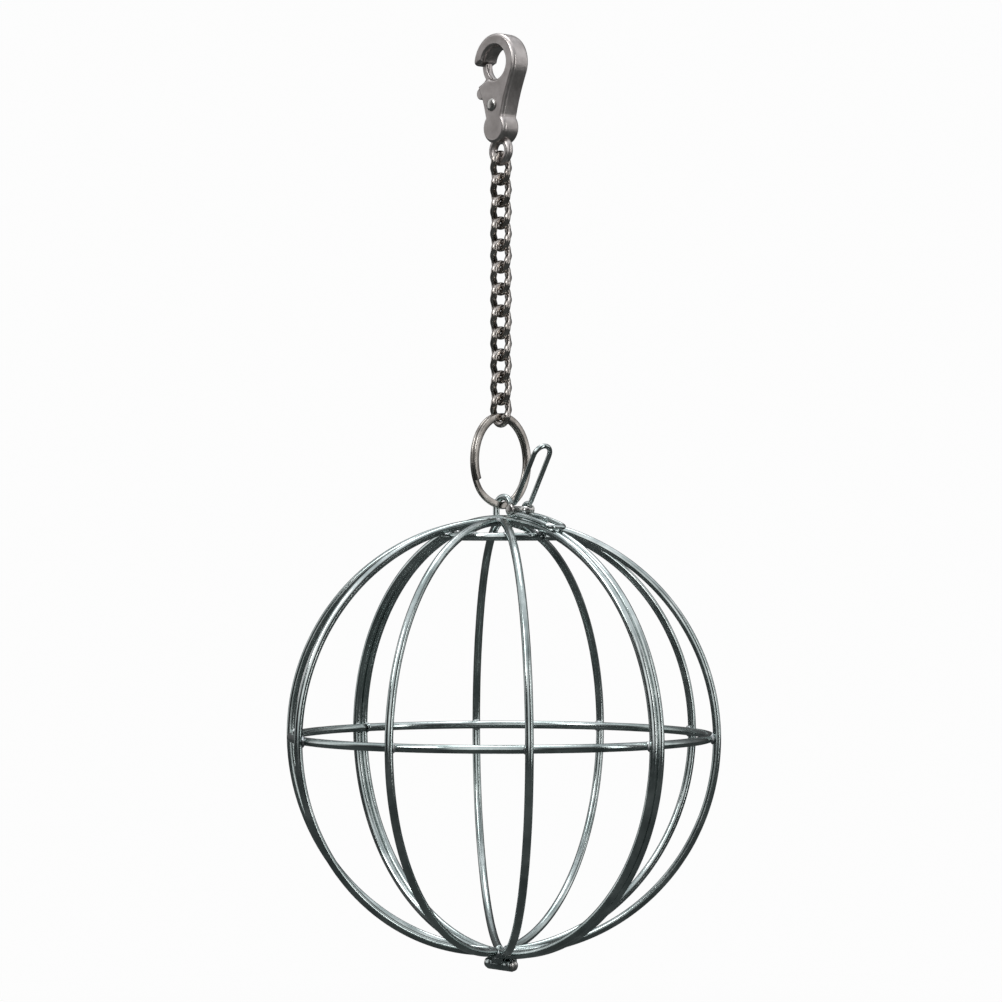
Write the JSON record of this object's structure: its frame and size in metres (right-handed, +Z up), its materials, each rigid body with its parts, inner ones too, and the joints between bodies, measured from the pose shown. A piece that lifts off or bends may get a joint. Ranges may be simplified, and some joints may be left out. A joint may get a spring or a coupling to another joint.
{
  "type": "hanging wire hay ball feeder",
  "caption": "Hanging wire ball that holds hay: two hinged half cages with a wire latch, a split ring, a twisted-link chain and a spring clip.",
  "frame": {"origin": "centre of the clip's hook hole, the point the feeder hangs from", "axes": "+Z up; +Y along the hook hole's axis, with the ball's split plane at y = 0 and the opening half on -Y; the clip's mouth faces -X"},
  "size_m": [0.08, 0.0772, 0.1696],
  "materials": {
    "cage_wire": "bright zinc plating on drawn steel wire",
    "chain_nickel": "nickel plating, tumbled",
    "ring_nickel": "nickel plating, polished",
    "clip_metal": "satin nickel on die-cast zinc",
    "rivet_steel": "nickel plating",
    "spring_steel": "plain spring steel"
  },
  "bodies": {
    "clip": {"clip_body": "clip_metal", "clip_rivet": "rivet_steel", "clip_spring": "spring_steel"},
    "clip_gate": {"clip_gate": "clip_metal"},
    "chain_link_01": {"chain_link_01": "chain_nickel"},
    "chain_link_02": {"chain_link_02": "chain_nickel"},
    "chain_link_03": {"chain_link_03": "chain_nickel"},
    "chain_link_04": {"chain_link_04": "chain_nickel"},
    "chain_link_05": {"chain_link_05": "chain_nickel"},
    "chain_link_06": {"chain_link_06": "chain_nickel"},
    "chain_link_07": {"chain_link_07": "chain_nickel"},
    "chain_link_08": {"chain_link_08": "chain_nickel"},
    "chain_link_09": {"chain_link_09": "chain_nickel"},
    "chain_link_10": {"chain_link_10": "chain_nickel"},
    "chain_link_11": {"chain_link_11": "chain_nickel"},
    "chain_link_12": {"chain_link_12": "chain_nickel"},
    "split_ring": {"split_ring": "ring_nickel"},
    "rear_half": {"rear_rim": "cage_wire", "rear_hoop_1": "cage_wire", "rear_hoop_2": "cage_wire", "rear_hoop_3": "cage_wire", "rear_hoop_4": "cage_wire", "rear_equator": "cage_wire", "rear_top_ring": "cage_wire", "hanger_eye": "cage_wire", "latch_post": "cage_wire", "latch_pin": "cage_wire", "rear_hinge_knuckles": "cage_wire", "hinge_pin": "cage_wire"},
    "front_half": {"front_rim": "cage_wire", "front_hoop_1": "cage_wire", "front_hoop_2": "cage_wire", "front_hoop_3": "cage_wire", "front_hoop_4": "cage_wire", "front_equator": "cage_wire", "front_top_ring": "cage_wire", "catch_stub": "cage_wire", "front_hinge_knuckle": "cage_wire"},
    "latch": {"latch_lever": "cage_wire"}
  },
  "joints": [
    {"name": "ball_half_hinge", "type": "hinge", "parent": "rear_half", "child": "front_half", "pos_m": [0, 0, -0.16301], "axis": [1, 0, 0], "range_deg": [0, 120]},
    {"name": "ball_latch_lift", "type": "hinge", "parent": "rear_half", "child": "latch", "pos_m": [0.00503, 0, -0.08097], "axis": [0, -1, 0], "range_deg": [0, 24]},
    {"name": "ball_swing", "type": "hinge", "parent": "split_ring", "child": "rear_half", "pos_m": [0, 0, -0.08021], "axis": [-0.1908, 0.9816, 0], "range_deg": [-15, 15]},
    {"name": "clip_gate_hinge", "type": "hinge", "parent": "clip", "child": "clip_gate", "pos_m": [-0.0004, 0, -0.0076], "axis": [0, 1, 0], "range_deg": [0, 30], "stiffness_Nm_per_rad": 0.004, "springref_deg": -28.65},
    {"name": "link_01_hinge", "type": "hinge", "parent": "clip", "child": "chain_link_01", "pos_m": [0, 0, -0.0178], "axis": [1, 0, 0], "range_deg": [-25, 25]},
    {"name": "link_02_hinge", "type": "hinge", "parent": "chain_link_01", "child": "chain_link_02", "pos_m": [0, 0, -0.02036], "axis": [0, 1, 0], "range_deg": [-25, 25]},
    {"name": "link_03_hinge", "type": "hinge", "parent": "chain_link_02", "child": "chain_link_03", "pos_m": [0, 0, -0.02561], "axis": [-1, 0, 0], "range_deg": [-25, 25]},
    {"name": "link_04_hinge", "type": "hinge", "parent": "chain_link_03", "child": "chain_link_04", "pos_m": [0, 0, -0.02834], "axis": [0, -1, 0], "range_deg": [-25, 25]},
    {"name": "link_05_hinge", "type": "hinge", "parent": "chain_link_04", "child": "chain_link_05", "pos_m": [0, 0, -0.03359], "axis": [1, 0, 0], "range_deg": [-25, 25]},
    {"name": "link_06_hinge", "type": "hinge", "parent": "chain_link_05", "child": "chain_link_06", "pos_m": [0, 0, -0.03632], "axis": [0, 1, 0], "range_deg": [-25, 25]},
    {"name": "link_07_hinge", "type": "hinge", "parent": "chain_link_06", "child": "chain_link_07", "pos_m": [0, 0, -0.04157], "axis": [-1, 0, 0], "range_deg": [-25, 25]},
    {"name": "link_08_hinge", "type": "hinge", "parent": "chain_link_07", "child": "chain_link_08", "pos_m": [0, 0, -0.0443], "axis": [0, -1, 0], "range_deg": [-25, 25]},
    {"name": "link_09_hinge", "type": "hinge", "parent": "chain_link_08", "child": "chain_link_09", "pos_m": [0, 0, -0.04955], "axis": [1, 0, 0], "range_deg": [-25, 25]},
    {"name": "link_10_hinge", "type": "hinge", "parent": "chain_link_09", "child": "chain_link_10", "pos_m": [0, 0, -0.05228], "axis": [0, 1, 0], "range_deg": [-25, 25]},
    {"name": "link_11_hinge", "type": "hinge", "parent": "chain_link_10", "child": "chain_link_11", "pos_m": [0, 0, -0.05753], "axis": [-1, 0, 0], "range_deg": [-25, 25]},
    {"name": "link_12_hinge", "type": "hinge", "parent": "chain_link_11", "child": "chain_link_12", "pos_m": [0, 0, -0.06026], "axis": [0, -1, 0], "range_deg": [-25, 25]},
    {"name": "ring_swing", "type": "hinge", "parent": "chain_link_12", "child": "split_ring", "pos_m": [0, 0, -0.06551], "axis": [1, 0, 0], "range_deg": [-25, 25]}
  ],
  "couplings": [
    {"joint": "ball_latch_lift", "follows": "ball_half_hinge", "ratio": 0.2}
  ]
}
